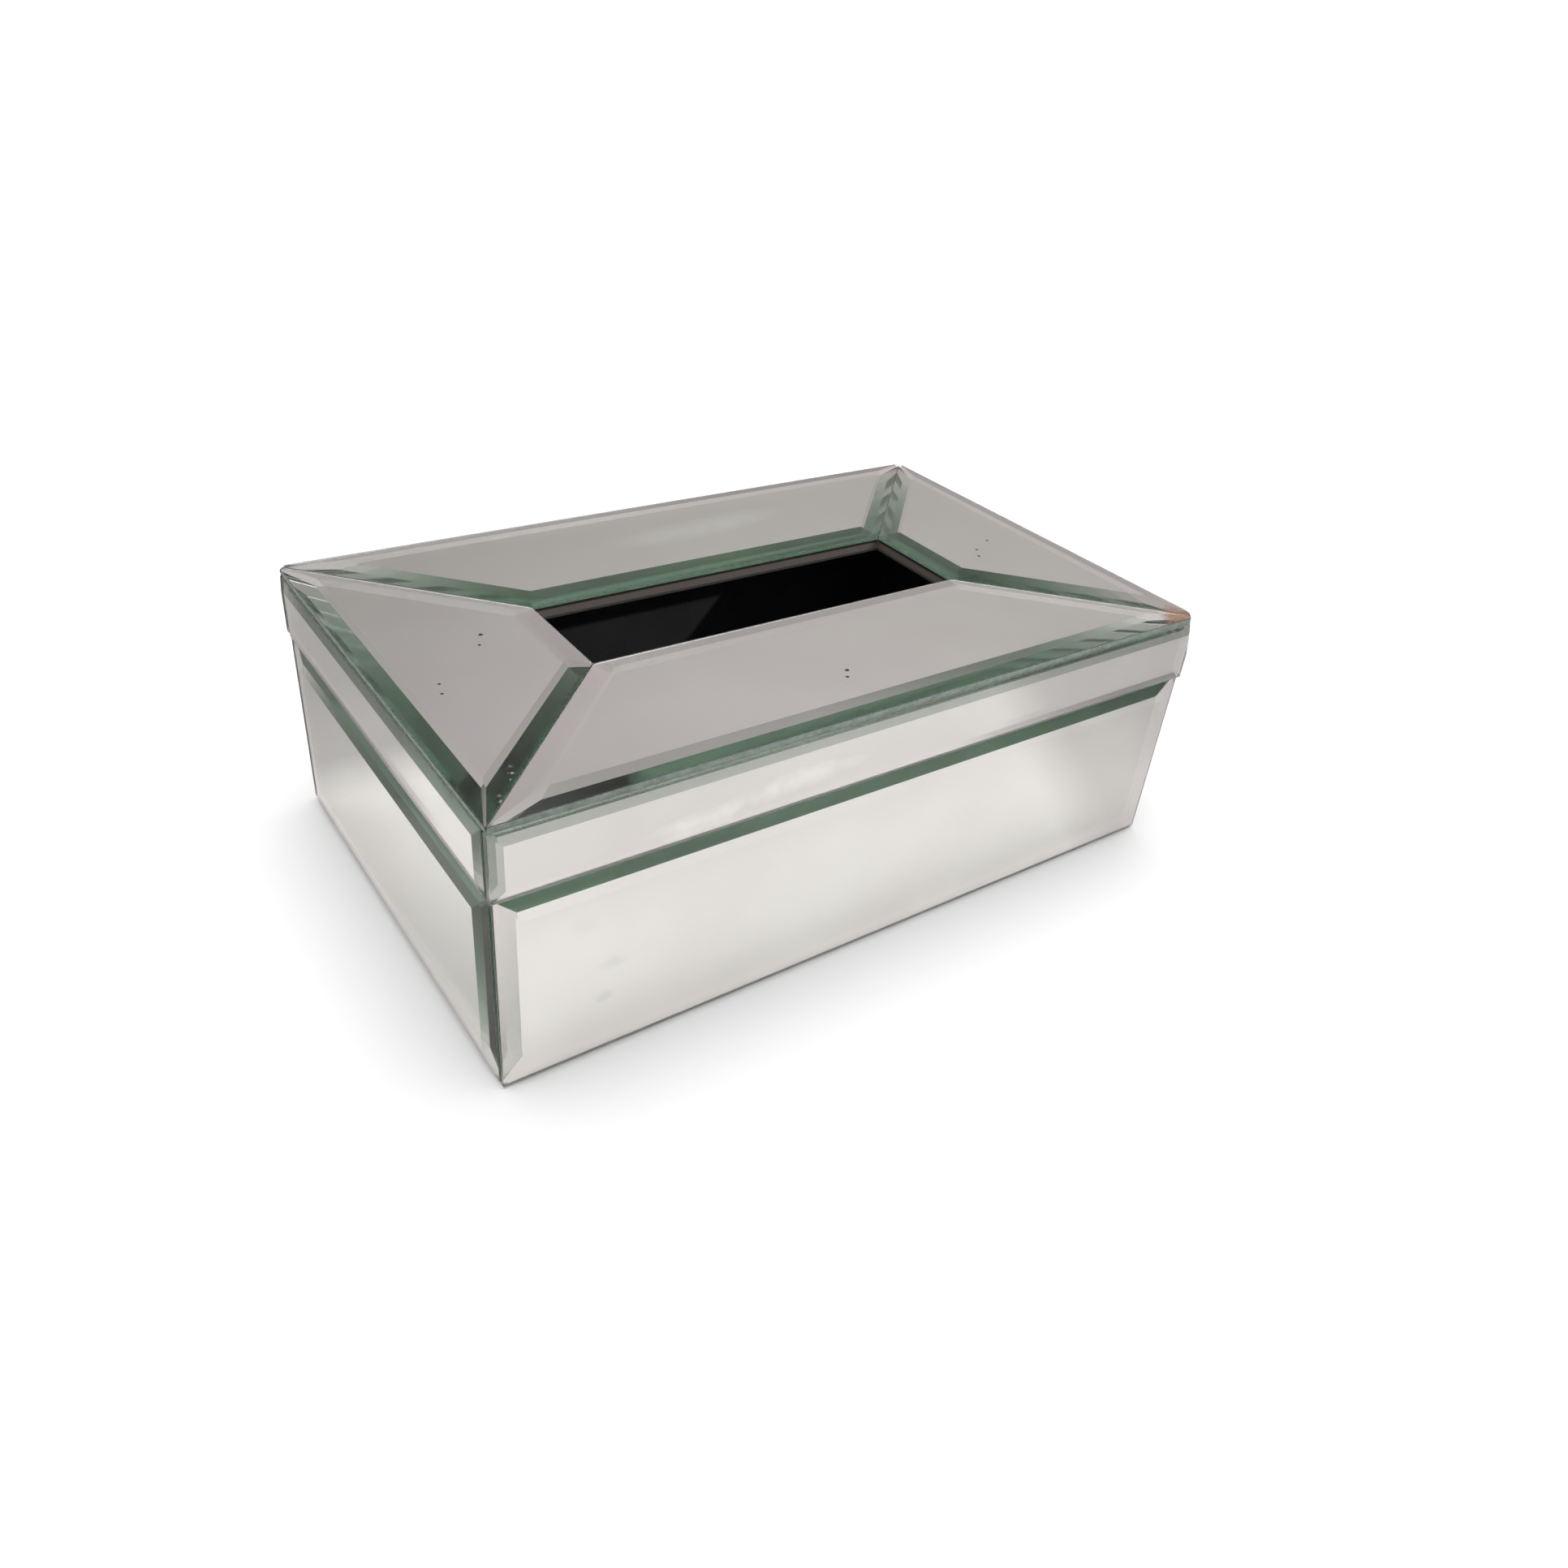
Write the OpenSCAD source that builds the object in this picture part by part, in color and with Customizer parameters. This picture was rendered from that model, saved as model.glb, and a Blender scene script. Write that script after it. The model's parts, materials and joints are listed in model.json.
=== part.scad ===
/* [Box] */
// Length over the flat faces of the two end mirrors
box_l = 270; // [240:1:300]
// Depth over the flat faces of the front and back mirrors
box_w = 169; // [150:1:200]
// Height of the base's rim above the table
base_h = 67.8; // [55:0.1:90]
// Height of the closed lid, from its lower rim to the face of its top mirrors
lid_h = 26.2; // [24:0.1:40]
// Gap between the base's rim and the lid's rim
seam = 0.3; // [0.3:0.1:1]

/* [Mirror glass] */
// Thickness of every mirror
glass_t = 4; // [3.6:0.1:5]
// Width of the bevel round the base and top mirrors
bevel_w = 7.5; // [5:0.5:9]
// How far that bevel falls from the mirror's face to its edge
bevel_drop = 1.7; // [1.5:0.1:2.4]
// Width of the bevel round the lid's narrow side mirrors
band_bevel_w = 4; // [3:0.5:6]
// How far the narrow mirrors' bevel falls
band_bevel_drop = 0.9; // [0.4:0.1:1.8]
// Gap left between neighbouring mirrors
glass_gap = 0.1; // [0.05:0.05:0.2]

/* [Slot for the tissues] */
// Length of the slot in the lid
slot_l = 144.6; // [120:0.1:160]
// Width of the slot in the lid
slot_w = 42.4; // [30:0.1:50]
// How far the mirrors overhang the board round the slot
slot_lip = 0.4; // [0:0.1:1]

/* [Boards and linings] */
// Thickness of the side boards of base and lid
board_t = 6; // [5:0.5:7]
// Thickness of the base's floor board
floor_t = 3; // [2.5:0.5:6]
// Thickness of the lid's top board
top_t = 2.8; // [2.4:0.1:5]
// Thickness of the velvet-covered lining cards
lining_t = 0.8; // [0.5:0.1:1.5]
// Thickness of the felt under the base
felt_t = 1; // [0.8:0.1:2]
// How far the linings stop short of the rims
lining_drop = 1.5; // [1:0.5:4]

/* [Hinges] */
// Distance from the middle of the box to the middle of each hinge
hinge_x = 80; // [50:1:95]
// Length of a hinge along its pin
hinge_l = 30; // [24:1:36]
// Thickness of a hinge leaf
leaf_t = 0.8; // [0.6:0.1:0.8]
// Outer radius of the knuckles
knuckle_r = 1.6; // [1.5:0.05:1.6]
// Radius of the hinge pin
pin_r = 0.8; // [0.7:0.05:0.9]
// How far the pin's axis stands out behind the back mirrors
pin_out = 0.6; // [0.6:0.1:1]

/* [Hidden] */
$fn = 48;

mdf = [0.47, 0.39, 0.31];
silver = [0.80, 0.84, 0.82];
velvet = [0.03, 0.03, 0.035];
felt = [0.08, 0.08, 0.08];
brass = [0.78, 0.62, 0.30];
steel = [0.62, 0.62, 0.60];

// Outlines of the wooden cores, inside the glass
core_l = box_l - 2 * glass_t;
core_w = box_w - 2 * glass_t;
inner_l = core_l - 2 * board_t;
inner_w = core_w - 2 * board_t;

// Heights
lid_z = base_h + seam;
lid_top = lid_z + lid_h;
top_glass_z = lid_top - glass_t;
top_board_z = top_glass_z - top_t;
wall_z = felt_t + floor_t;

// The end mirrors fit between the front and back ones
end_glass_w = core_w - 2 * glass_gap;
// Outline of the whole top, level with the thinned edges of the lid's side mirrors
top_l = box_l - 2 * band_bevel_drop;
top_w = box_w - 2 * band_bevel_drop;

// Hinge: the pin lies just behind the back mirrors, level with the middle of the seam
pin_y = box_w / 2 + pin_out;
pin_z = base_h + seam / 2;
leaf_gap = 0.1;
leaf_y0 = core_w / 2 - board_t + 0.4;
mortise_z = pin_z - leaf_gap / 2 - leaf_t;
back_glass_drop = base_h - mortise_z + 0.05;
knuckle_l = hinge_l / 3;
knuckle_gap = 0.15;
stop_angle = 62;
stop_t = 0.8;
stop_r = 4.2;
screw_r = 0.95;
screw_hole_r = 1;
screw_head_r = 1.75;
screw_l = 9;
screw_x = 9.5;
screw_y = core_w / 2 - board_t / 2;
recess_l = 2;
recess_w = 0.45;
recess_d = 0.4;

felt_inset = 4;

// --- shared shapes -----------------------------------------------------

// The inward normal of an outline's side from p to q
function inward(p, q) = [p[1] - q[1], q[0] - p[0]] / norm(q - p);

// An outline drawn in by the same width on every side
function drawn_in(points, width) = [
    for (i = [0 : len(points) - 1])
        let (
            n = len(points),
            a = inward(points[(i + n - 1) % n], points[i]),
            b = inward(points[i], points[(i + 1) % n])
        )
        points[i] + width * (a + b) / (1 + a * b)
];

// The points of an outline at a height
function at_height(points, z) = [for (p = points) [p[0], p[1], z]];

// A flat mirror with its silvered back on z = 0 and every edge of its face
// bevelled. The points run anticlockwise round a convex outline.
module bevelled_glass(points, width, drop) {
    n = len(points);
    color(silver) polyhedron(
        points = concat(
            at_height(points, 0),
            at_height(points, glass_t - drop),
            at_height(drawn_in(points, width), glass_t)
        ),
        faces = concat(
            [[for (i = [0 : n - 1]) i], [for (i = [n - 1 : -1 : 0]) 2 * n + i]],
            [for (ring = [0, n], i = [0 : n - 1])
                [ring + i, ring + n + i, ring + n + (i + 1) % n, ring + (i + 1) % n]]
        )
    );
}

function rectangle(l, h) = [[-l / 2, 0], [l / 2, 0], [l / 2, h], [-l / 2, h]];

// Stands an upright mirror with its face towards the given direction:
// 0 is the front, 90 the right end, 180 the back and 270 the left end.
module upright_glass(direction, core, l, z0, z1, width, drop) {
    rotate([0, 0, direction])
        translate([0, -core / 2, z0])
            rotate([90, 0, 0])
                bevelled_glass(rectangle(l, z1 - z0), width, drop);
}

// One of the lid's four top mirrors, mitred along the box's corner lines.
// near is the half depth of the outline, and half_l and half_slot the half
// lengths of its outer and inner edges.
module top_glass(direction, near, half_l, near_slot, half_slot) {
    mitre = glass_gap / sqrt(2);
    translate([0, 0, top_glass_z])
        rotate([0, 0, direction])
            bevelled_glass([
                [-half_l + mitre, -near],
                [half_l - mitre, -near],
                [half_slot - mitre, -near_slot],
                [-half_slot + mitre, -near_slot]
            ], bevel_w, bevel_drop);
}

// A plain board between two corners
module board(low, high, tint = mdf) {
    color(tint) translate(low) cube(high - low);
}

// A board across the front (side = -1) or back (side = 1)
module long_board(side, half_l, outer, t, z0, z1, tint = mdf) {
    y = side > 0 ? outer - t : -outer;
    board([-half_l, y, z0], [half_l, y + t, z1], tint);
}

// A board across the left (side = -1) or right (side = 1) end
module end_board(side, half_w, outer, t, z0, z1, tint = mdf) {
    x = side > 0 ? outer - t : -outer;
    board([x, -half_w, z0], [x + t, half_w, z1], tint);
}

// --- base --------------------------------------------------------------

module base_felt() {
    l = core_l - 2 * felt_inset;
    w = core_w - 2 * felt_inset;
    color(felt) translate([-l / 2, -w / 2, 0]) cube([l, w, felt_t]);
}

module base_floor_board() {
    board([-core_l / 2, -core_w / 2, felt_t], [core_l / 2, core_w / 2, wall_z]);
}

module base_front_board() {
    long_board(-1, core_l / 2, core_w / 2, board_t, wall_z, base_h);
}

module base_back_board() {
    color(mdf) difference() {
        long_board(1, core_l / 2, core_w / 2, board_t, wall_z, base_h);
        for (side = [-1, 1]) translate([side * hinge_x, 0, 0]) {
            leaf_mortise(mortise_z);
            screw_places() translate([0, 0, base_h - screw_l - 1])
                cylinder(r = screw_hole_r, h = screw_l + 2);
        }
    }
}

module base_end_board(side) {
    end_board(side, inner_w / 2, core_l / 2, board_t, wall_z, base_h);
}

module base_end_mirror(direction) {
    upright_glass(direction, core_l, end_glass_w, felt_t, base_h, bevel_w, bevel_drop);
}

module base_floor_lining() {
    board([-inner_l / 2, -inner_w / 2, wall_z],
        [inner_l / 2, inner_w / 2, wall_z + lining_t], velvet);
}

module base_long_lining(side) {
    long_board(side, inner_l / 2, inner_w / 2, lining_t,
        wall_z + lining_t, base_h - lining_drop, velvet);
}

module base_end_lining(side) {
    end_board(side, inner_w / 2 - lining_t, inner_l / 2, lining_t,
        wall_z + lining_t, base_h - lining_drop, velvet);
}

// --- lid ---------------------------------------------------------------

module lid_top_board() {
    l = slot_l + 2 * slot_lip;
    w = slot_w + 2 * slot_lip;
    color(mdf) difference() {
        board([-core_l / 2, -core_w / 2, top_board_z], [core_l / 2, core_w / 2, top_glass_z]);
        translate([-l / 2, -w / 2, top_board_z - 1]) cube([l, w, top_t + 2]);
    }
}

module lid_front_rail() {
    long_board(-1, core_l / 2, core_w / 2, board_t, lid_z, top_board_z);
}

module lid_back_rail() {
    color(mdf) difference() {
        long_board(1, core_l / 2, core_w / 2, board_t, lid_z, top_board_z);
        for (side = [-1, 1]) translate([side * hinge_x, 0, 0]) {
            leaf_mortise(pin_z);
            screw_places() translate([0, 0, lid_z - 1])
                cylinder(r = screw_hole_r, h = screw_l + 2);
        }
    }
}

module lid_end_rail(side) {
    end_board(side, inner_w / 2, core_l / 2, board_t, lid_z, top_board_z);
}

module lid_end_mirror(direction) {
    upright_glass(direction, core_l, end_glass_w, lid_z, top_glass_z - glass_gap,
        band_bevel_w, band_bevel_drop);
}

module lid_top_long_mirror(direction) {
    top_glass(direction, top_w / 2, top_l / 2, slot_w / 2, slot_l / 2);
}

module lid_top_end_mirror(direction) {
    top_glass(direction, top_l / 2, top_w / 2, slot_l / 2, slot_w / 2);
}

module lid_top_lining() {
    l = slot_l + 2 * slot_lip;
    w = slot_w + 2 * slot_lip;
    color(velvet) difference() {
        board([-inner_l / 2, -inner_w / 2, top_board_z - lining_t],
            [inner_l / 2, inner_w / 2, top_board_z], velvet);
        translate([-l / 2, -w / 2, top_board_z - 2]) cube([l, w, 4]);
    }
}

module lid_long_lining(side) {
    long_board(side, inner_l / 2, inner_w / 2, lining_t,
        lid_z + lining_drop, top_board_z - lining_t, velvet);
}

module lid_end_lining(side) {
    end_board(side, inner_w / 2 - lining_t, inner_l / 2, lining_t,
        lid_z + lining_drop, top_board_z - lining_t, velvet);
}

// --- hinges ------------------------------------------------------------
// Each is drawn round x = 0. Its leaves open to 100 degrees, where the lid
// leaf's fin meets the bar that the base leaf's outer knuckles carry.

// Shallow pocket for one leaf, from the given height upwards
module leaf_mortise(z0) {
    translate([-hinge_l / 2 - 0.2, core_w / 2 - board_t - 1, z0])
        cube([hinge_l + 0.4, board_t + 2, leaf_t + leaf_gap / 2]);
}

module screw_places() {
    for (side = [-1, 1]) translate([side * screw_x, screw_y, 0]) children();
}

module knuckle(x0, x1, r) {
    translate([x0, pin_y, pin_z]) rotate([0, 90, 0]) cylinder(r = r, h = x1 - x0);
}

// A flat fin that stands out from the pin's axis between two radii
module stop_fin(x0, x1, angle, r0) {
    translate([x0, pin_y, pin_z]) rotate([angle, 0, 0])
        translate([0, r0, -stop_t / 2]) cube([x1 - x0, stop_r - r0, stop_t]);
}

module countersunk_hole(z0, up) {
    translate([0, 0, z0 - 1]) cylinder(r = screw_hole_r + 0.05, h = leaf_t + 2);
    translate([0, 0, z0]) mirror([0, 0, up ? 0 : 1])
        translate([0, 0, up ? 0 : -leaf_t])
            cylinder(r1 = screw_hole_r + 0.05, r2 = screw_head_r + 0.05, h = leaf_t);
}

module base_leaf() {
    half = hinge_l / 2;
    mid = knuckle_l / 2 + knuckle_gap;
    clear_r = knuckle_r + 0.15;
    color(brass) difference() {
        union() {
            translate([-half, leaf_y0, mortise_z]) cube([hinge_l, pin_y - leaf_y0, leaf_t]);
            knuckle(-half, -mid, knuckle_r);
            knuckle(mid, half, knuckle_r);
            stop_fin(-half, -mid, -stop_angle, pin_r + 0.4);
            stop_fin(mid, half, -stop_angle, pin_r + 0.4);
            stop_fin(-half, half, -stop_angle, clear_r + 0.1);
        }
        translate([-mid, pin_y - clear_r, mortise_z - 1])
            cube([2 * mid, clear_r + 1, leaf_t + 1.9]);
        knuckle(-half - 1, half + 1, pin_r + 0.02);
        screw_places() countersunk_hole(mortise_z, true);
    }
}

module lid_leaf() {
    half = hinge_l / 2;
    mid = knuckle_l / 2;
    clear_r = knuckle_r + 0.15;
    z0 = pin_z + leaf_gap / 2;
    color(brass) difference() {
        union() {
            translate([-half, leaf_y0, z0]) cube([hinge_l, pin_y - leaf_y0, leaf_t]);
            knuckle(-mid, mid, knuckle_r);
            stop_fin(-mid, mid, stop_angle, pin_r + 0.4);
        }
        for (side = [-1, 1])
            translate([side > 0 ? mid : -half - 1, pin_y - clear_r, z0 - 1])
                cube([half - mid + 1, clear_r + 1, leaf_t + 2]);
        knuckle(-mid - 1, mid + 1, pin_r + 0.05);
        screw_places() countersunk_hole(z0, false);
    }
}

module hinge_pin() {
    color(steel) knuckle(-hinge_l / 2, hinge_l / 2, pin_r);
}

// A countersunk wood screw with a cross recess, its head on z = 0 and its point down
module screw() {
    tip = 2;
    color(brass) difference() {
        union() {
            translate([0, 0, -leaf_t]) cylinder(r1 = screw_r, r2 = screw_head_r, h = leaf_t);
            translate([0, 0, tip - screw_l]) cylinder(r = screw_r, h = screw_l - tip - leaf_t);
            translate([0, 0, -screw_l]) cylinder(r1 = 0.2, r2 = screw_r, h = tip);
        }
        for (turn = [0, 90]) rotate([0, 0, turn])
            translate([-recess_l / 2, -recess_w / 2, -recess_d])
                cube([recess_l, recess_w, recess_d + 1]);
    }
}

module base_screws() {
    screw_places() translate([0, 0, mortise_z + leaf_t]) screw();
}

module lid_screws() {
    screw_places() translate([0, 0, pin_z + leaf_gap / 2]) rotate([180, 0, 0]) screw();
}

// --- nodes -------------------------------------------------------------

base_felt();
base_floor_board();
base_front_board();
base_back_board();
base_end_board(-1);  // base_left_board
base_end_board(1);  // base_right_board
upright_glass(0, core_w, box_l - 2 * bevel_drop, felt_t, base_h, bevel_w, bevel_drop);  // base_front_mirror
upright_glass(180, core_w, box_l - 2 * bevel_drop, felt_t, base_h - back_glass_drop,  // base_back_mirror
        bevel_w, bevel_drop);
base_end_mirror(270);  // base_left_mirror
base_end_mirror(90);  // base_right_mirror
base_floor_lining();
base_long_lining(-1);  // base_front_lining
base_long_lining(1);  // base_back_lining
base_end_lining(-1);  // base_left_lining
base_end_lining(1);  // base_right_lining

lid_top_board();
lid_front_rail();
lid_back_rail();
lid_end_rail(-1);  // lid_left_rail
lid_end_rail(1);  // lid_right_rail
lid_top_long_mirror(0);  // lid_top_front_mirror
lid_top_long_mirror(180);  // lid_top_back_mirror
lid_top_end_mirror(270);  // lid_top_left_mirror
lid_top_end_mirror(90);  // lid_top_right_mirror
upright_glass(0, core_w, top_l, lid_z, top_glass_z - glass_gap,  // lid_side_front_mirror
        band_bevel_w, band_bevel_drop);
upright_glass(180, core_w, top_l, lid_z + back_glass_drop, top_glass_z - glass_gap,  // lid_side_back_mirror
        band_bevel_w, band_bevel_drop);
lid_end_mirror(270);  // lid_side_left_mirror
lid_end_mirror(90);  // lid_side_right_mirror
lid_top_lining();
lid_long_lining(-1);  // lid_front_lining
lid_long_lining(1);  // lid_back_lining
lid_end_lining(-1);  // lid_left_lining
lid_end_lining(1);  // lid_right_lining

translate([-hinge_x, 0, 0]) base_leaf();  // left_hinge_base_leaf
translate([-hinge_x, 0, 0]) lid_leaf();  // left_hinge_lid_leaf
translate([-hinge_x, 0, 0]) hinge_pin();  // left_hinge_pin
translate([-hinge_x, 0, 0]) base_screws();  // left_hinge_base_screws
translate([-hinge_x, 0, 0]) lid_screws();  // left_hinge_lid_screws
translate([hinge_x, 0, 0]) base_leaf();  // right_hinge_base_leaf
translate([hinge_x, 0, 0]) lid_leaf();  // right_hinge_lid_leaf
translate([hinge_x, 0, 0]) hinge_pin();  // right_hinge_pin
translate([hinge_x, 0, 0]) base_screws();  // right_hinge_base_screws
translate([hinge_x, 0, 0]) lid_screws();  // right_hinge_lid_screws
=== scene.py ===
"""The looks of the mirrored box: silvered bevelled glass, raw board, black velvet, brass hinges."""
import json
import math

import bpy
import bmesh
from mathutils import Matrix, Vector, noise


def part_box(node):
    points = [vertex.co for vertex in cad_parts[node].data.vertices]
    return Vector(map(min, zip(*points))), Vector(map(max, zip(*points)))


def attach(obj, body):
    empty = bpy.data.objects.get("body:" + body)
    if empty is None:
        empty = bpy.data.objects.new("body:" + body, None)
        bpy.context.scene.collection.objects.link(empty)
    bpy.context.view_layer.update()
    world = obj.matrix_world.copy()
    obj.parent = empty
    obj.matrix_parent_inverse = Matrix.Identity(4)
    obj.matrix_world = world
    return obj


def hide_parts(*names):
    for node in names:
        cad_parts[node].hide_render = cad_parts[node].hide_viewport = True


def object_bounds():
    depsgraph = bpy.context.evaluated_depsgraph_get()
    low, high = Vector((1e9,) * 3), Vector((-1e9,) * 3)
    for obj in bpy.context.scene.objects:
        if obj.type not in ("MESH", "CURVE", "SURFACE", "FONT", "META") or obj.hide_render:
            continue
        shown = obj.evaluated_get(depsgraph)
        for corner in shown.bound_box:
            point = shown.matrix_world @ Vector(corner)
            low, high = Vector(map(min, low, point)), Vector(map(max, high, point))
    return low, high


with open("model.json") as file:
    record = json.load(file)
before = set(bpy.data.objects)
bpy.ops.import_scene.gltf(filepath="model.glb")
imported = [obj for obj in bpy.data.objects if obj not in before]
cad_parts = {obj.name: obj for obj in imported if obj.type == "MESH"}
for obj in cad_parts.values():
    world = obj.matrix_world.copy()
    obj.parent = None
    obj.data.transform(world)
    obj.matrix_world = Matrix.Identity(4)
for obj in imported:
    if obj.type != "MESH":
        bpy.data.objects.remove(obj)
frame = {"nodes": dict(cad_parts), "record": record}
cad_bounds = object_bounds()

MM = 0.001
UP = Vector((0, 0, 1))
HALF_LENGTH = cad_bounds[1][0]
HALF_DEPTH = -cad_bounds[0][1]

# The photograph's view: degrees, and metres from the middle of the box's underside
VIEW_AZIMUTH = -38.24
VIEW_ELEVATION = 33.63
VIEW_ROLL = 5.79
VIEW_RIGHT = 0.01828
VIEW_UP = 0.01094
VIEW_BACK = 0.46957
SENSOR = 36.0
LENS = 28.03

# --- materials ------------------------------------------------------------


class Material:
    """A procedural material: a Principled shader with short ways to add nodes to it."""

    def __init__(self, name):
        self.material = bpy.data.materials.new(name)
        self.material.use_nodes = True
        self.nodes = self.material.node_tree.nodes
        self.links = self.material.node_tree.links
        self.shader = self.nodes["Principled BSDF"]
        self.place = self.nodes.new("ShaderNodeTexCoord").outputs["Object"]

    def set(self, **values):
        """Sets the shader's own sockets; an underscore stands for a space."""
        for name, value in values.items():
            self.shader.inputs[name.replace("_", " ")].default_value = value
        return self

    def link(self, source, socket):
        self.links.new(source, self.shader.inputs[socket])

    def stretch(self, scale):
        """The place, drawn out along an axis whose scale is below 1."""
        node = self.nodes.new("ShaderNodeMapping")
        node.inputs["Scale"].default_value = scale
        self.links.new(self.place, node.inputs["Vector"])
        return node.outputs["Vector"]

    def noise(self, size, detail=4.0, roughness=0.55, distortion=0.0, place=None):
        """Noise whose features are about size metres across."""
        node = self.nodes.new("ShaderNodeTexNoise")
        self.links.new(place or self.place, node.inputs["Vector"])
        node.inputs["Scale"].default_value = 1 / size
        node.inputs["Detail"].default_value = detail
        node.inputs["Roughness"].default_value = roughness
        node.inputs["Distortion"].default_value = distortion
        return node.outputs["Fac"]

    def distance(self, x, y, z, along=1.0):
        """Metres from a point in millimetres; X counts for less when along is below 1."""
        node = self.nodes.new("ShaderNodeVectorMath")
        node.operation = "DISTANCE"
        self.links.new(self.stretch((along, 1, 1)), node.inputs[0])
        node.inputs[1].default_value = (x * along * MM, y * MM, z * MM)
        return node.outputs["Value"]

    def axis(self, name):
        """Metres along one axis: X, Y or Z."""
        node = self.nodes.new("ShaderNodeSeparateXYZ")
        self.links.new(self.place, node.inputs["Vector"])
        return node.outputs[name]

    def remap(self, source, low, high, to_low=0.0, to_high=1.0):
        """The source taken from low..high to to_low..to_high, and held at either end."""
        node = self.nodes.new("ShaderNodeMapRange")
        self.links.new(source, node.inputs["Value"])
        for name, value in (
            ("From Min", low),
            ("From Max", high),
            ("To Min", to_low),
            ("To Max", to_high),
        ):
            node.inputs[name].default_value = value
        return node.outputs["Result"]

    def maths(self, operation, a, b):
        """The operation's result for a and b, each a number or another node's output."""
        node = self.nodes.new("ShaderNodeMath")
        node.operation = operation
        for socket, value in zip(node.inputs, (a, b)):
            if isinstance(value, (int, float)):
                socket.default_value = value
            else:
                self.links.new(value, socket)
        return node.outputs["Value"]

    def mix(self, factor, a, b):
        """A colour between a and b, each a colour or another node's output."""
        node = self.nodes.new("ShaderNodeMix")
        node.data_type = "RGBA"
        self.links.new(factor, node.inputs["Factor"])
        for socket, value in (("A", a), ("B", b)):
            target = next(s for s in node.inputs if s.name == socket and s.type == "RGBA")
            if isinstance(value, tuple):
                target.default_value = (*value, 1)
            else:
                self.links.new(value, target)
        return next(s for s in node.outputs if s.type == "RGBA")

    def bump(self, height, strength, distance):
        node = self.nodes.new("ShaderNodeBump")
        self.links.new(height, node.inputs["Height"])
        node.inputs["Strength"].default_value = strength
        node.inputs["Distance"].default_value = distance
        self.link(node.outputs["Normal"], "Normal")


# Glass holds back red most and green least, this strongly to the metre
GLASS_GREEN = (0.0, 0.856, 0.41, 1)
GLASS_DENSITY = 13.2
# Face marks that the glass material reads
GROUND = "ground"
# The second mark paints shade on some bevels
SHADED_BEVELS = "hazed"
# The silvering stands this far off the board, over its backing paint
BACKING = 1.0 * MM
PAINT_T = 0.85 * MM
# Heights of the top mirrors' face and silvering, in millimetres
TOP_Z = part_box("lid_top_front_mirror")[1][2] / MM
SILVER_Z = (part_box("lid_top_front_mirror")[0][2] + BACKING) / MM
# Nicks in the mitre by the near left corner: x, y and size in millimetres
NICKS = (
    (-118, -62.5, 0.7),
    (-119.5, -65, 0.5),
    (-125.5, -73, 0.9),
    (-127, -75.5, 0.6),
    (-123, -71, 0.5),
)


def near_spots(m, spots, height, ragged, reach):
    """One in each spot, nothing elsewhere; ragged is how far noise moves a rim that is reach wide."""
    rough = m.maths("MULTIPLY", m.noise(1.1 * MM, 5.0, 0.7), ragged)
    found = None
    for x, y, size in spots:
        near = m.maths("ADD", m.distance(x, y, height), rough)
        edge = size * MM + ragged / 2
        spot = m.remap(near, edge, edge - reach)
        found = spot if found is None else m.maths("MAXIMUM", found, spot)
    return found


def glass_material():
    """Clear green glass, satin where its face is marked as ground, and painted darker, as painted
    shade, on the bevels marked for it.
    """
    m = Material("bevelled_glass").set(IOR=1.52, Transmission_Weight=1.0)
    marks = {}
    for name in (GROUND, SHADED_BEVELS):
        node = m.nodes.new("ShaderNodeAttribute")
        node.attribute_name = name
        marks[name] = node.outputs["Fac"]
    tint = m.mix(marks[GROUND], (1, 1, 1), (0.93, 0.95, 0.93))
    # Painted shade: the marked bevels' colour is darkened to a grey green
    m.link(m.mix(marks[SHADED_BEVELS], tint, (0.33, 0.375, 0.345)), "Base Color")
    nicks = near_spots(m, NICKS, height=TOP_Z - 1, ragged=1.6 * MM, reach=0.3 * MM)
    m.link(m.maths("MULTIPLY", m.maths("MAXIMUM", marks[GROUND], nicks), 0.5), "Roughness")
    volume = m.nodes.new("ShaderNodeVolumeAbsorption")
    volume.inputs["Color"].default_value = GLASS_GREEN
    volume.inputs["Density"].default_value = GLASS_DENSITY
    m.links.new(volume.outputs["Volume"], m.nodes["Material Output"].inputs["Volume"])
    return m.material


# Specks where the silvering of the top mirrors has gone: x, y and size in millimetres
SPECKS = (
    (-95, 9, 0.76),
    (-98, 3, 0.62),
    (-117.5, -14, 0.52),
    (-119, -19.5, 0.56),
    (-5.5, -60, 0.76),
    (-8, -63.5, 0.68),
    (108.5, -1, 0.68),
    (98.5, -6, 0.66),
    (95, -11, 0.66),
)
# Places where the silvering is a little lighter, as a painted reflection of something bright, or
# darker,
# as a smudge: x, y, z and radius in millimetres, the scale along X, which draws them out, and the
# strength, above nought for a painted reflection and below it for a smudge
PAINTED_REFLECTIONS_AND_SMUDGES = (
    (4, 54, 91, 9, 0.25, 1.0),
    (32, 57, 91, 8, 0.35, 0.8),
    (-72, -82, 73, 4, 0.2, 1.0),
    (-50, -82, 75, 3.5, 0.25, 0.7),
    (-34, -82, 77, 4, 0.2, 1.0),
    (-107, -82, 50, 4, 0.6, -0.25),
    (-99, -82, 33, 3, 0.5, -0.35),
    (-101, -82, 21, 2.5, 0.8, -0.4),
)
# How far noise moves a patch's rim, and how near its middle it is at full strength
PATCH_RAGGED, PATCH_CORE = 5 * MM, 3 * MM
# The rusty corner's middle, and how far the rust is whole and spreads from it, in millimetres
RUST = (129, -81, SILVER_Z)
RUST_CORE, RUST_REACH = 9, 15
# It starts at this height, just under the top mirrors
RUST_FLOOR = 89


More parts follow.
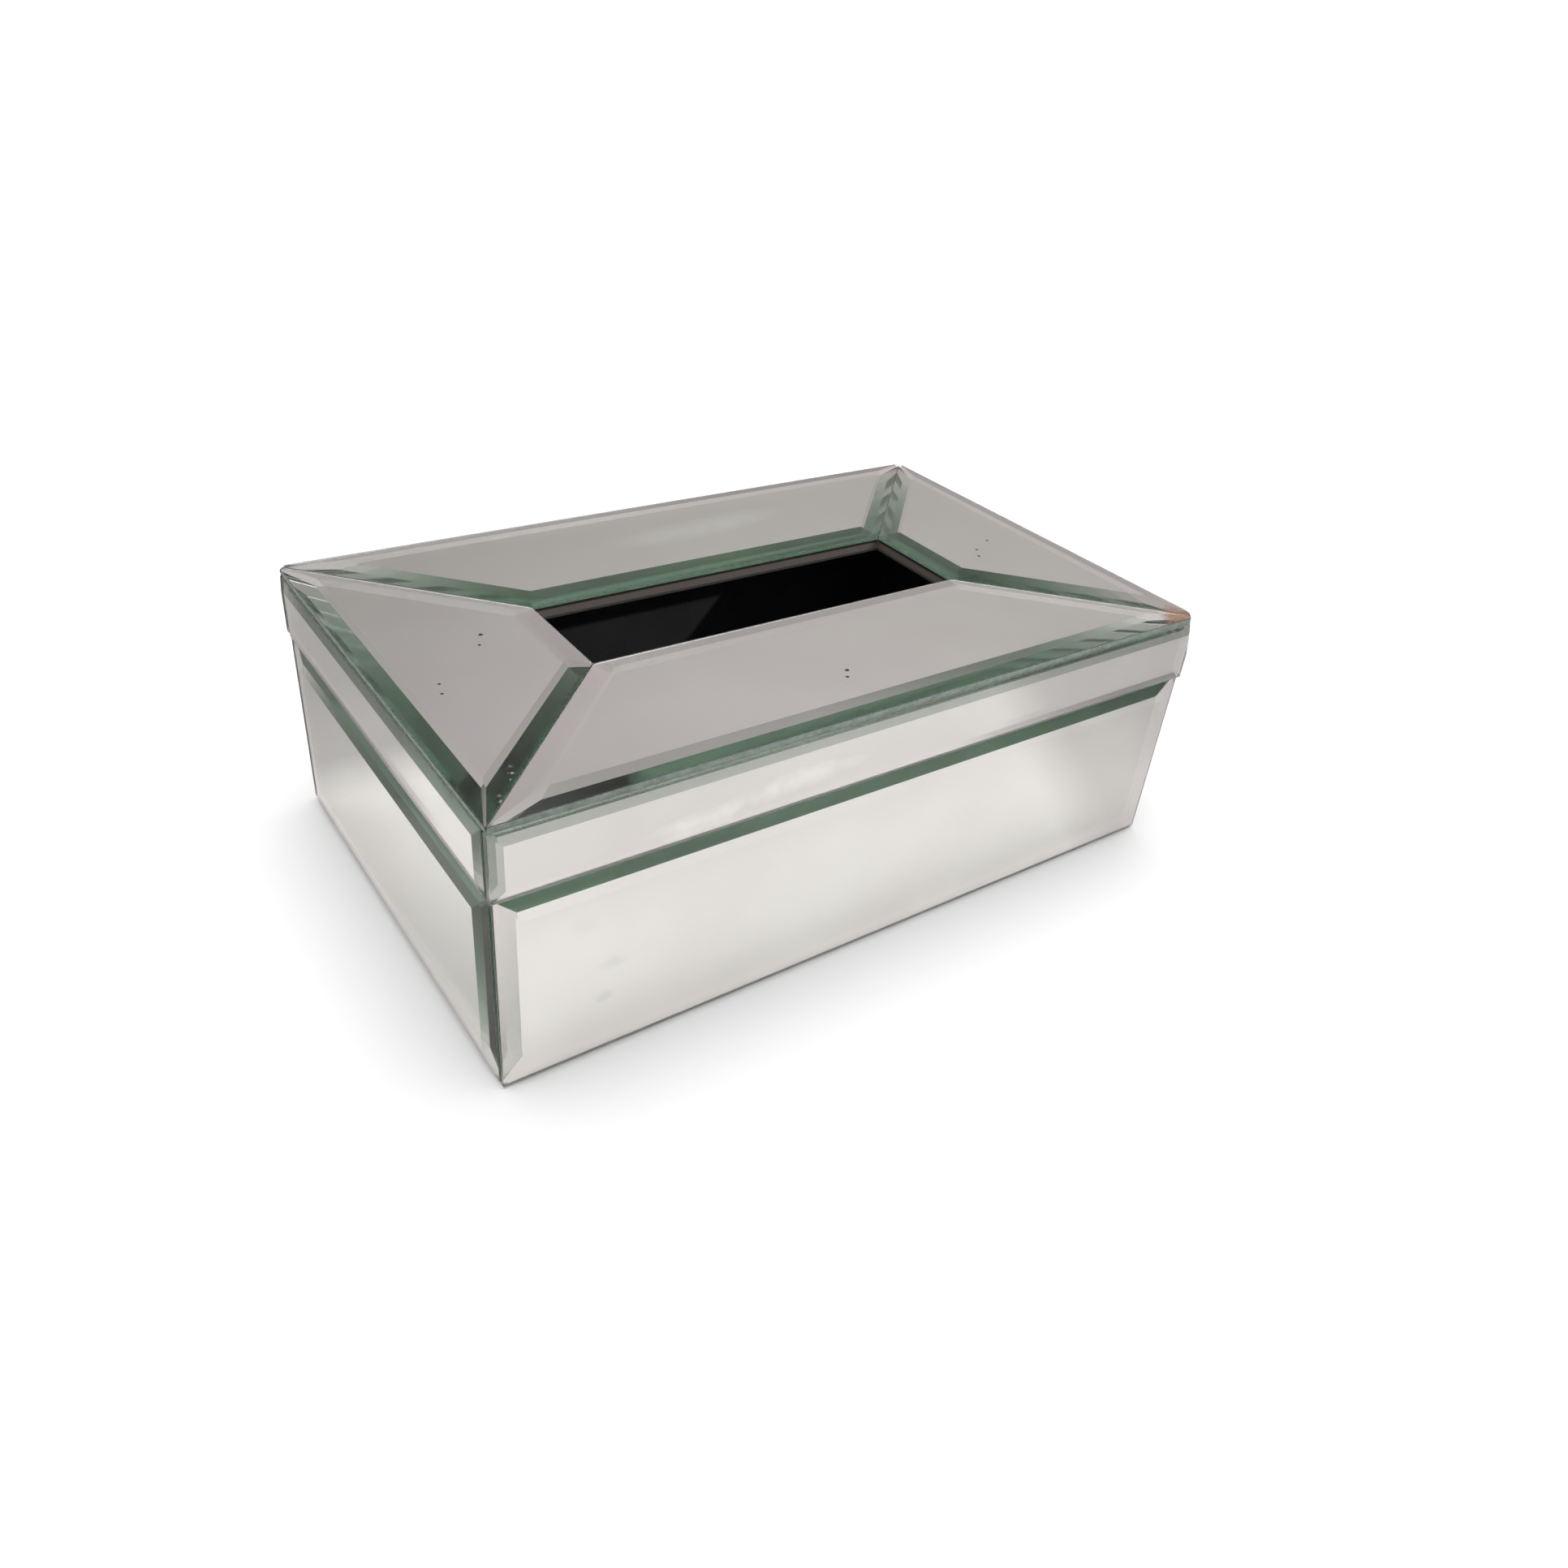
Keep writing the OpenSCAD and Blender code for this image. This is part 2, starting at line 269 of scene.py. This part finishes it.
def silver_material():
    """The mirrors' silvering, with its lost specks, painted reflections, dark smudges and a rusty
    corner.
    """
    m = Material("silvering").set(Metallic=1.0)
    worn = near_spots(m, SPECKS, height=SILVER_Z, ragged=1.2 * MM, reach=0.15 * MM)
    cloud = m.maths("MULTIPLY", m.noise(9 * MM, 4.0, 0.6, 0.4), PATCH_RAGGED)
    reflections_and_smudges = 0.0
    for x, y, z, radius, along, strength in PAINTED_REFLECTIONS_AND_SMUDGES:
        near = m.maths("ADD", m.distance(x, y, z, along), cloud)
        patch = m.remap(near, radius * MM + PATCH_RAGGED / 2, PATCH_CORE, 0.0, strength)
        reflections_and_smudges = m.maths("ADD", patch, reflections_and_smudges)
    ragged = m.maths("MULTIPLY", m.noise(4 * MM, 5.0, 0.7), 10 * MM)
    corner = m.maths("ADD", m.distance(*RUST), ragged)
    rusty = m.remap(corner, RUST_REACH * MM, RUST_CORE * MM)
    above = m.remap(m.axis("Z"), RUST_FLOOR * MM, (RUST_FLOOR + 1) * MM)
    rusty = m.maths("MULTIPLY", rusty, above)
    tone = m.remap(m.noise(45 * MM, 2.0), 0.35, 0.65)
    silvering_tone = m.mix(tone, (0.895, 0.87, 0.87), (0.865, 0.835, 0.84))
    # Painted reflections: the silvering is lighter where a patch's strength is above nought
    silvering_tone = m.mix(m.remap(reflections_and_smudges, 0.0, 1.0), silvering_tone, (1.0, 0.99, 0.97))
    # Dark smudges where a patch's strength is below nought
    silvering_tone = m.mix(m.remap(reflections_and_smudges, 0.0, -1.0), silvering_tone, (0.72, 0.72, 0.70))
    colour = m.mix(rusty, silvering_tone, (0.66, 0.43, 0.31))
    m.link(m.mix(worn, colour, (0.015, 0.013, 0.012)), "Base Color")
    m.link(m.remap(rusty, 0.0, 1.0, 0.06, 0.4), "Roughness")
    return m.material


def paint_material():
    """The protective paint on the back of the silvering."""
    m = Material("backing_paint").set(Roughness=0.7)
    fleck = m.noise(0.8 * MM, 4.0, 0.6)
    tone = m.remap(fleck, 0.35, 0.65)
    m.link(m.mix(tone, (0.02, 0.019, 0.018), (0.05, 0.046, 0.042)), "Base Color")
    m.bump(fleck, 0.3, 0.05 * MM)
    return m.material


def joint_material():
    """The dull edges of the lid's top glass, in its mitres and round its outside."""
    m = Material("mitre_edge").set(Roughness=0.6)
    grime = m.remap(m.noise(2 * MM, 4.0, 0.6), 0.35, 0.65)
    m.link(m.mix(grime, (0.16, 0.20, 0.175), (0.27, 0.32, 0.29)), "Base Color")
    return m.material


def board_material():
    """Raw brown fibreboard with darker and lighter patches."""
    m = Material("fibreboard").set(Roughness=0.85)
    fibre = m.noise(0.6 * MM, 6.0, 0.7)
    patch = m.noise(9 * MM, 3.0)
    tone = m.mix(m.remap(fibre, 0.3, 0.7), (0.14, 0.12, 0.104), (0.25, 0.218, 0.192))
    m.link(m.mix(m.remap(patch, 0.35, 0.65), tone, (0.19, 0.17, 0.155)), "Base Color")
    m.bump(fibre, 0.5, 0.15 * MM)
    return m.material


def velvet_material():
    """Black velvet, whose nap lies lighter in places."""
    m = Material("black_velvet").set(
        Roughness=0.9, Sheen_Weight=0.5, Sheen_Roughness=0.4, Specular_IOR_Level=0.15
    )
    nap = m.noise(22 * MM, 2.0, 0.5)
    pile = m.noise(0.35 * MM, 3.0, 0.7)
    dark = m.mix(m.remap(pile, 0.3, 0.7), (0.028, 0.028, 0.030), (0.075, 0.075, 0.078))
    m.link(m.mix(m.remap(nap, 0.35, 0.7), dark, (0.068, 0.068, 0.071)), "Base Color")
    m.bump(pile, 0.6, 0.2 * MM)
    return m.material


def felt_material():
    """Nearly black pressed felt."""
    m = Material("dark_felt").set(Roughness=0.95, Sheen_Weight=0.2)
    fibre = m.noise(0.5 * MM, 6.0, 0.75)
    m.link(m.mix(m.remap(fibre, 0.3, 0.7), (0.01, 0.01, 0.01), (0.05, 0.05, 0.05)), "Base Color")
    m.bump(fibre, 0.7, 0.2 * MM)
    return m.material


def metal_material(name, low, high, roughness):
    """Drawn metal, which tarnish takes from its high colour to its low one in places."""
    m = Material(name).set(Metallic=1.0)
    grain = m.noise(0.4 * MM, 4.0, 0.6, place=m.stretch((0.05, 1, 1)))
    tarnish = m.noise(5 * MM, 4.0, 0.6)
    m.link(m.mix(m.remap(tarnish, 0.35, 0.7), high, low), "Base Color")
    m.link(m.remap(grain, 0.3, 0.7, roughness - 0.08, roughness + 0.1), "Roughness")
    m.bump(grain, 0.15, 0.05 * MM)
    return m.material


def floor_material():
    m = Material("pale_floor")
    m.set(Base_Color=(0.92, 0.94, 0.94, 1), Roughness=0.9, Specular_IOR_Level=0.0)
    return m.material


# Each fall of painted shade on the table: where it starts and ends, in metres, and the share of light
# that is left.
# To the right it goes by X and this share of Y, in two steps.
TABLE_SLANT = 0.57
TABLE_RIGHT = ((0.05, 0.08, 0.66), (0.08, 0.25, 0.70))
# Behind the box it goes by Y, and far off by the distance from the box's middle
TABLE_BACK = (0.075, 0.105, 0.46)
TABLE_FAR = (0.42, 0.62, 0.3)
# By the near left corner it is at this share, and rises to the whole along Y; that holds left of the
# first of these X, and none of it right of the second
TABLE_LEFT_Y = (-0.045, 0.03, 0.76)
TABLE_LEFT_X = (-0.15, -0.14)
# Nearer to the box than the first of these distances the table is painted lighter, a painted light
# against the box's own shadow, up to the second
TABLE_NEAR = (0.08, 0.02)


def table_material():
    """The surface round the box as its mirrors see it, with painted light near the box and painted
    shade further off.
    """
    m = Material("table_top").set(Roughness=0.9)

    def dimmed(source, low, high, dark):
        return m.remap(source, low, high, 1.0, dark)

    slant = m.maths("ADD", m.axis("X"), m.maths("MULTIPLY", m.axis("Y"), TABLE_SLANT))
    right = m.maths("MULTIPLY", *(dimmed(slant, *step) for step in TABLE_RIGHT))
    back = dimmed(m.axis("Y"), *TABLE_BACK)
    far = dimmed(m.distance(0, 0, 0), *TABLE_FAR)
    corner_low, corner_high, corner_dark = TABLE_LEFT_Y
    corner = m.remap(m.axis("Y"), corner_low, corner_high, corner_dark, 1.0)
    left = m.maths("MAXIMUM", corner, m.remap(m.axis("X"), *TABLE_LEFT_X))
    light = m.maths("MULTIPLY", m.maths("MULTIPLY", right, back), m.maths("MULTIPLY", far, left))
    beside = m.maths("SUBTRACT", m.maths("ABSOLUTE", m.axis("X"), 0.0), HALF_LENGTH)
    before = m.maths("SUBTRACT", m.maths("ABSOLUTE", m.axis("Y"), 0.0), HALF_DEPTH)
    near = m.remap(m.maths("MAXIMUM", beside, before), *TABLE_NEAR)
    # Painted light and shade: lighter near the box, and dark where the painted falls of shade leave
    # little
    lit = m.mix(near, (0.70, 0.655, 0.655), (0.91, 0.86, 0.855))
    m.link(m.mix(light, (0.10, 0.092, 0.098), lit), "Base Color")
    return m.material


GLASS = glass_material()
SILVER = silver_material()
PAINT = paint_material()
JOINT = joint_material()
BOARD = board_material()
VELVET = velvet_material()
FELT = felt_material()
BRASS = metal_material("hinge_brass", (0.55, 0.38, 0.14), (0.78, 0.60, 0.28), 0.3)
STEEL = metal_material("pin_steel", (0.45, 0.45, 0.44), (0.62, 0.62, 0.61), 0.3)

# --- pieces ---------------------------------------------------------------

# The order of the materials on a mirror
GLASS_FACE, SILVER_FACE, PAINT_FACE, JOINT_FACE = range(4)
# How far a face's normal goes along the mirror's outward direction: over LEVEL on the flats, from
# FLAT to LEVEL on the bevels, and under UPRIGHT on the rims
LEVEL, FLAT, UPRIGHT = 0.99, 0.9, 0.1
# The width of a mirror's ground arris, and how far its paint keeps from its edges and the board
ARRIS = 0.18 * MM
PAINT_INSET, PAINT_LIFT = 0.3 * MM, 0.05 * MM

# Corners knocked off the lid's glass: a point on each break, in millimetres, and its outward
# direction
CHIPS = (
    ((132.2, -81.7, 92.3), (1, -1, 0.25)),
    ((133.0, -82.4, 91.6), (0.9, -1, 0.8)),
    ((132.6, -82.0, 92.3), (1, -0.4, 0.5)),
    ((-132.7, 82.2, 92.3), (-1, 1, 0.3)),
    ((132.8, 82.3, 92.3), (1, 1, 0.3)),
    ((-133.8, -83.3, 92.3), (-1, -1, 0.4)),
)


def add_mesh(name, bm, *materials):
    mesh = bpy.data.meshes.new(name)
    bm.to_mesh(mesh)
    bm.free()
    piece = bpy.data.objects.new(name, mesh)
    bpy.context.scene.collection.objects.link(piece)
    for material in materials:
        mesh.materials.append(material)
    return piece


def body_of_node(node):
    bodies = frame["record"]["behaviour"]["bodies"]
    return next(body for body, nodes in bodies.items() if node in nodes)


def slot_of_node(node):
    return next(s["material_slot"] for s in frame["record"]["subparts"] if s["node"] == node)


def stand_in(piece, node):
    """The piece takes its CAD node's place and body."""
    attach(piece, body_of_node(node))
    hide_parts(node)
    return piece


def clean_copy(node):
    """The node's CAD mesh as a bmesh with one face to each flat."""
    bm = bmesh.new()
    bm.from_mesh(frame["nodes"][node].data)
    bmesh.ops.remove_doubles(bm, verts=bm.verts, dist=0.001 * MM)
    bmesh.ops.dissolve_limit(bm, angle_limit=math.radians(0.5), verts=bm.verts, edges=bm.edges)
    bm.normal_update()
    return bm


def chip(bm, faces, point, outward, material_index):
    """Knocks off what stands beyond a point, in millimetres, in the given direction."""
    edges = {e for f in faces for e in f.edges}
    verts = {v for f in faces for v in f.verts}
    cut = bmesh.ops.bisect_plane(
        bm,
        geom=[*verts, *edges, *faces],
        plane_co=Vector(point) * MM,
        plane_no=Vector(outward),
        clear_outer=True,
    )
    rim = [e for e in cut["geom_cut"] if isinstance(e, bmesh.types.BMEdge)]
    kept = [f for f in cut["geom"] if isinstance(f, bmesh.types.BMFace) and f.is_valid]
    if rim:
        for face in bmesh.ops.holes_fill(bm, edges=rim, sides=0)["faces"]:
            face.material_index = material_index
            kept.append(face)
    return kept


def add_backing(bm, corners, outward):
    """A thin coat of paint under the silvering, as a closed slab of its own."""
    middle = sum(corners, Vector()) / len(corners)
    low = []
    for corner in corners:
        inwards = Vector(
            math.copysign(PAINT_INSET, d) if abs(d) > MM else 0.0 for d in middle - corner
        )
        low.append(corner + inwards + outward * PAINT_LIFT)
    rings = [[bm.verts.new(v + outward * rise) for v in low] for rise in (0, PAINT_T)]
    faces = [bm.faces.new(rings[0]), bm.faces.new(reversed(rings[1]))]
    for i in range(len(low)):
        j = (i + 1) % len(low)
        faces.append(bm.faces.new((rings[0][j], rings[0][i], rings[1][i], rings[1][j])))
    return faces


def bevel_shade(node, normal):
    """How much painted shade darkens a bevel: the lid's narrow mirrors get it on top and towards the
    near left corner.
    """
    if "lid_side" not in node:
        return 0.0
    if normal.z > 0.05:
        return 1.0
    towards_corner = normal.x if "front" in node or "back" in node else normal.y
    return 0.85 if towards_corner < -0.05 else 0.0


def mirror(node, outward):
    """A bevelled mirror: the CAD slab with ground edges, silvered and painted behind."""
    bm = clean_copy(node)
    back = next(f for f in bm.faces if f.normal.dot(outward) < -LEVEL)
    corners = [vert.co.copy() for vert in back.verts]
    for vert in back.verts:
        vert.co += outward * BACKING
    rim = [f for f in bm.faces if abs(f.normal.dot(outward)) < UPRIGHT]
    edges = {e for f in rim for e in f.edges}
    bmesh.ops.bevel(bm, geom=list(edges), offset=ARRIS, segments=1, affect="EDGES")
    faces = list(bm.faces)
    bm.normal_update()
    for face in faces:
        silvered = face.normal.dot(outward) < -LEVEL
        face.material_index = SILVER_FACE if silvered else GLASS_FACE
    backing = add_backing(bm, corners, outward)
    for face in backing:
        face.material_index = PAINT_FACE
    if node.startswith("lid"):
        for point, away in CHIPS:
            faces = chip(bm, faces, point, away, GLASS_FACE)
            backing = chip(bm, backing, point, away, PAINT_FACE)
    bm.normal_update()
    ground = bm.faces.layers.float.new(GROUND)
    hazed = bm.faces.layers.float.new(SHADED_BEVELS)
    for face in bm.faces:
        facing = face.normal.dot(outward)
        face[ground] = 1.0 if abs(facing) < FLAT else 0.0
        if abs(facing) < UPRIGHT:
            mitred = min(abs(face.normal.x), abs(face.normal.y)) > 0.4
            outer = "lid_top" in node and face.normal.dot(face.calc_center_median()) > 0
            if mitred or outer:
                face.material_index = JOINT_FACE
        # Each bevel's share of painted shade
        face[hazed] = bevel_shade(node, face.normal) if FLAT <= facing < LEVEL else 0.0
    return stand_in(add_mesh(node + "_glass", bm, GLASS, SILVER, PAINT, JOINT), node)


OUTWARD = {
    "front": Vector((0, -1, 0)),
    "back": Vector((0, 1, 0)),
    "left": Vector((-1, 0, 0)),
    "right": Vector((1, 0, 0)),
}
for side, outward in OUTWARD.items():
    mirror(f"base_{side}_mirror", outward)
    mirror(f"lid_side_{side}_mirror", outward)
    mirror(f"lid_top_{side}_mirror", UP)


def eased(node, suffix, material, width, segments):
    """The node's shape with every edge rounded over."""
    bm = clean_copy(node)
    bmesh.ops.bevel(
        bm, geom=list(bm.edges), offset=width, segments=segments, profile=0.5, affect="EDGES"
    )
    return stand_in(add_mesh(node + suffix, bm, material), node)


def grid_cuts(bm, pitch):
    """Cuts a mesh on even planes so that it can be shaped."""
    for axis in range(3):
        lows = [v.co[axis] for v in bm.verts]
        low, high = min(lows), max(lows)
        count = int((high - low) / pitch)
        for i in range(1, count):
            point, normal = Vector(), Vector()
            point[axis] = low + (high - low) * i / count
            normal[axis] = 1
            bmesh.ops.bisect_plane(
                bm, geom=[*bm.verts, *bm.edges, *bm.faces], plane_co=point, plane_no=normal
            )


def covered(node, suffix, material, edge, swell, pitch):
    """A card or sheet covered in cloth: soft edges and a face that isn't quite flat."""
    piece = eased(node, suffix, material, edge, 3)
    bm = bmesh.new()
    bm.from_mesh(piece.data)
    grid_cuts(bm, pitch)
    bm.normal_update()
    for vert in bm.verts:
        lift = noise.noise(vert.co / (16 * MM)) + 0.5 * noise.noise(vert.co / (5 * MM))
        vert.co += vert.normal * swell * lift
    bm.to_mesh(piece.data)
    bm.free()
    for face in piece.data.polygons:
        face.use_smooth = True
    return piece


SLOT_MATERIALS = {"board": BOARD, "hinge_brass": BRASS, "pin_steel": STEEL}
MORTISED = ("base_back_board", "lid_back_rail")
for node, obj in frame["nodes"].items():
    slot = slot_of_node(node)
    if slot == "velvet":
        covered(node, "_card", VELVET, edge=0.3 * MM, swell=0.07 * MM, pitch=4 * MM)
    elif slot == "felt":
        felt = covered(node, "_sheet", FELT, edge=0.4 * MM, swell=0.06 * MM, pitch=4 * MM)
    elif slot == "board" and node not in MORTISED:
        eased(node, "_piece", BOARD, width=0.25 * MM, segments=2)
    elif slot in SLOT_MATERIALS:
        obj.data.materials.clear()
        obj.data.materials.append(SLOT_MATERIALS[slot])

# --- stage ----------------------------------------------------------------

FLOOR_SIZE = 60.0
BACKDROP_RADIUS = 40.0
# The window's lamp is aimed here, and stands this way and this far off
WINDOW_AIM = Vector((0, 0, 0.09))
WINDOW_TOWARDS = Vector((0.96, -1.49, 1.0)).normalized()
WINDOW_AWAY = 2.5
# The dome's colour at each height above the horizon, as the sine of its angle
DOME = (
    (0.00, (0.45, 0.41, 0.42)),
    (0.22, (0.50, 0.45, 0.45)),
    (0.33, (0.46, 0.42, 0.41)),
    (0.42, (0.51, 0.46, 0.455)),
    (0.52, (0.56, 0.495, 0.51)),
    (0.68, (0.47, 0.425, 0.42)),
    (0.80, (0.47, 0.425, 0.42)),
    (0.94, (4.7, 4.7, 4.7)),
)
# The dome is brightest, low down, at this azimuth and height in degrees
GLOW_AZIMUTH = 45
GLOW_HEIGHT = 27
# Its strength goes from the first gain to the second with the cosine of the angle to there
GLOW_COSINES = (0.91, 1.0)
GLOW_GAINS = (0.84, 1.12)


def add_plane(name, height, material):
    bm = bmesh.new()
    bmesh.ops.create_grid(bm, x_segments=8, y_segments=8, size=FLOOR_SIZE)
    plane = add_mesh(name, bm, material)
    plane.location.z = height
    return plane


def add_floor():
    """A pale floor, and the table top that only the mirrors show."""
    floor = add_plane("floor", 0.0, floor_material())
    table = add_plane("table_top", 0.1 * MM, table_material())
    for thing, shown in ((floor, True), (table, False)):
        thing.visible_camera = shown
        thing.visible_diffuse = shown
        thing.visible_shadow = shown
        thing.visible_glossy = not shown
        thing.visible_transmission = not shown


def add_backdrop():
    """A white wall far off, which only the camera sees."""
    bm = bmesh.new()
    bmesh.ops.create_cone(
        bm,
        cap_ends=False,
        segments=64,
        radius1=BACKDROP_RADIUS,
        radius2=BACKDROP_RADIUS,
        depth=2 * BACKDROP_RADIUS,
    )
    m = Material("white_backdrop").set(
        Base_Color=(0, 0, 0, 1), Roughness=1.0, Emission_Color=(1, 1, 1, 1), Emission_Strength=1.2
    )
    wall = add_mesh("backdrop", bm, m.material)
    wall.visible_diffuse = False
    wall.visible_shadow = False
    wall.visible_glossy = False
    wall.visible_transmission = False


def add_window():
    """Light from the front right that falls through the slot."""
    light = bpy.data.lights.new("window", "SPOT")
    light.energy = 52
    light.spot_size = math.radians(5.5)
    light.spot_blend = 0.4
    light.shadow_soft_size = 0.03
    lamp = bpy.data.objects.new("window", light)
    lamp.location = WINDOW_AIM + WINDOW_TOWARDS * WINDOW_AWAY
    lamp.rotation_euler = WINDOW_TOWARDS.to_track_quat("Z", "Y").to_euler()
    lamp.visible_glossy = False
    lamp.visible_transmission = False
    bpy.context.scene.collection.objects.link(lamp)


def add_world():
    """A soft dome: grey low down and bright overhead."""
    world = bpy.data.worlds.new("studio")
    bpy.context.scene.world = world
    world.use_nodes = True
    nodes, links = world.node_tree.nodes, world.node_tree.links
    place = nodes.new("ShaderNodeTexCoord")
    split = nodes.new("ShaderNodeSeparateXYZ")
    links.new(place.outputs["Generated"], split.inputs["Vector"])
    ramp = nodes.new("ShaderNodeValToRGB")
    ramp.color_ramp.interpolation = "EASE"
    stops = ramp.color_ramp.elements
    while len(stops) < len(DOME):
        stops.new(0.5)
    for stop, (height, colour) in zip(stops, DOME):
        stop.position = height
        stop.color = (*colour, 1)
    links.new(split.outputs["Z"], ramp.inputs["Fac"])
    links.new(ramp.outputs["Color"], nodes["Background"].inputs["Color"])
    azimuth, height = math.radians(GLOW_AZIMUTH), math.radians(GLOW_HEIGHT)
    glow = nodes.new("ShaderNodeVectorMath")
    glow.operation = "DOT_PRODUCT"
    links.new(place.outputs["Generated"], glow.inputs[0])
    glow.inputs[1].default_value = (
        math.cos(height) * math.cos(azimuth),
        math.cos(height) * math.sin(azimuth),
        math.sin(height),
    )
    gain = nodes.new("ShaderNodeMapRange")
    links.new(glow.outputs["Value"], gain.inputs["Value"])
    ends = ("From Min", "From Max", "To Min", "To Max")
    for name, value in zip(ends, (*GLOW_COSINES, *GLOW_GAINS)):
        gain.inputs[name].default_value = value
    links.new(gain.outputs["Result"], nodes["Background"].inputs["Strength"])


def add_camera():
    """The photograph's view: turned from the front, tipped down, rolled and moved off the middle."""
    azimuth, elevation, roll = map(math.radians, (VIEW_AZIMUTH, VIEW_ELEVATION, VIEW_ROLL))
    back = Vector((
        math.sin(azimuth) * math.cos(elevation),
        -math.cos(azimuth) * math.cos(elevation),
        math.sin(elevation),
    ))
    level_right = UP.cross(back).normalized()
    level_up = back.cross(level_right)
    right = math.cos(roll) * level_right + math.sin(roll) * level_up
    up = back.cross(right)
    camera = bpy.data.objects.new("camera", bpy.data.cameras.new("camera"))
    camera.data.sensor_width = SENSOR
    camera.data.lens = LENS
    camera.data.clip_start = 0.01
    turn = Matrix((right, up, back)).transposed().to_4x4()
    camera.matrix_world = Matrix.Translation(
        right * VIEW_RIGHT + up * VIEW_UP + back * VIEW_BACK
    ) @ turn
    bpy.context.scene.collection.objects.link(camera)
    bpy.context.scene.camera = camera


add_floor()
add_backdrop()
add_world()
add_window()
add_camera()

scene = bpy.context.scene
scene.view_settings.view_transform = "Standard"
cycles = scene.cycles
cycles.max_bounces = 32
cycles.glossy_bounces = 32
cycles.transmission_bounces = 32
cycles.diffuse_bounces = 4
